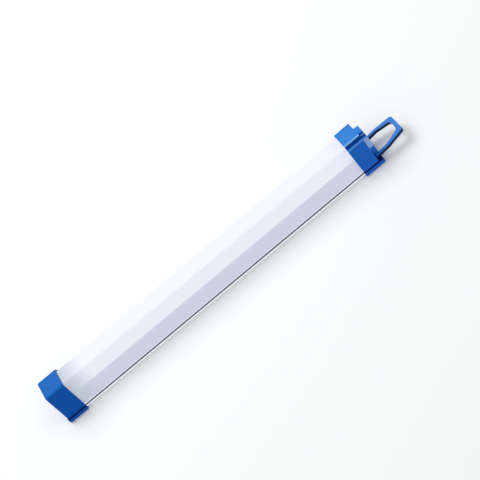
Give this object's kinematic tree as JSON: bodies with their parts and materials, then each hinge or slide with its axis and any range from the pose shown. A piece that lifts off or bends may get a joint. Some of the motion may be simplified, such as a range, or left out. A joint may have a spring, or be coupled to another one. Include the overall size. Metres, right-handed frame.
{
  "type": "led light tube",
  "caption": "Trapezoid LED light tube with a milky cover, blue end caps, holding magnets in its back and a swinging hanging hook.",
  "frame": {"origin": "middle of the footprint on the plane of the back, with the hook at rest", "axes": "+X along the tube towards the hook, +Z from the back to the top face of the cover"},
  "size_m": [0.3456, 0.04, 0.03],
  "materials": {
    "blue": "satin moulded blue",
    "blue_light": "satin moulded blue",
    "blue_hook": "satin moulded blue",
    "milky": "milky opal diffuser",
    "white_plastic": "white satin",
    "window": "translucent pale blue",
    "dark_rubber": "matt",
    "blue_rubber": "matt",
    "white_board": "white solder mask",
    "green_board": "green solder mask",
    "led_chip": "phosphor",
    "cell_wrap": "shrink sleeve",
    "black_plastic": "moulded black",
    "nickel": "nickel strip",
    "foam": "closed-cell foam",
    "wire": "wire insulation",
    "steel": "plated steel",
    "magnet": "nickel-plated magnet"
  },
  "bodies": {
    "housing": {"plain_cap": "blue", "hook_cap": "blue_light", "diffuser": "milky", "back_profile": "white_plastic", "plain_gasket": "dark_rubber", "hook_gasket": "dark_rubber", "led_board": "white_board", "led_chips": "led_chip", "cell_1": "cell_wrap", "cell_2": "cell_wrap", "cell_3": "cell_wrap", "cell_4": "cell_wrap", "cell_cradle": "black_plastic", "positive_strip": "nickel", "negative_strip": "nickel", "foam_pad": "foam", "protection_board": "green_board", "battery_leads": "wire", "led_leads": "wire", "control_board": "green_board", "control_parts": "black_plastic", "board_leads": "wire", "port_board": "green_board", "port_board_screws": "steel", "usb_socket": "steel", "usb_tongue": "black_plastic", "cover_anchor": "blue_rubber", "button_switch": "black_plastic", "status_leds": "led_chip", "indicator_window": "window", "plain_magnets": "magnet", "hook_magnets": "magnet", "cap_screws": "steel"},
    "hook": {"hook": "blue_hook"},
    "button": {"power_button": "white_plastic", "switch_plunger": "white_plastic"},
    "port_cover": {"port_cover": "blue_rubber"}
  },
  "joints": [
    {"name": "hook_swing", "type": "hinge", "parent": "housing", "child": "hook", "pos_m": [0.14515, -0.0066, 0.0065], "axis": [0, -1, 0], "range_deg": [-8.5, 60]},
    {"name": "button_press", "type": "slide", "parent": "housing", "child": "button", "axis": [-1, 0, 0], "range_m": [0, 0.0006], "stiffness_N_per_m": 600},
    {"name": "cover_flap", "type": "hinge", "parent": "housing", "child": "port_cover", "pos_m": [0.1436, 0.0085, 0.014], "axis": [0, -1, 0], "range_deg": [0, 90]}
  ]
}
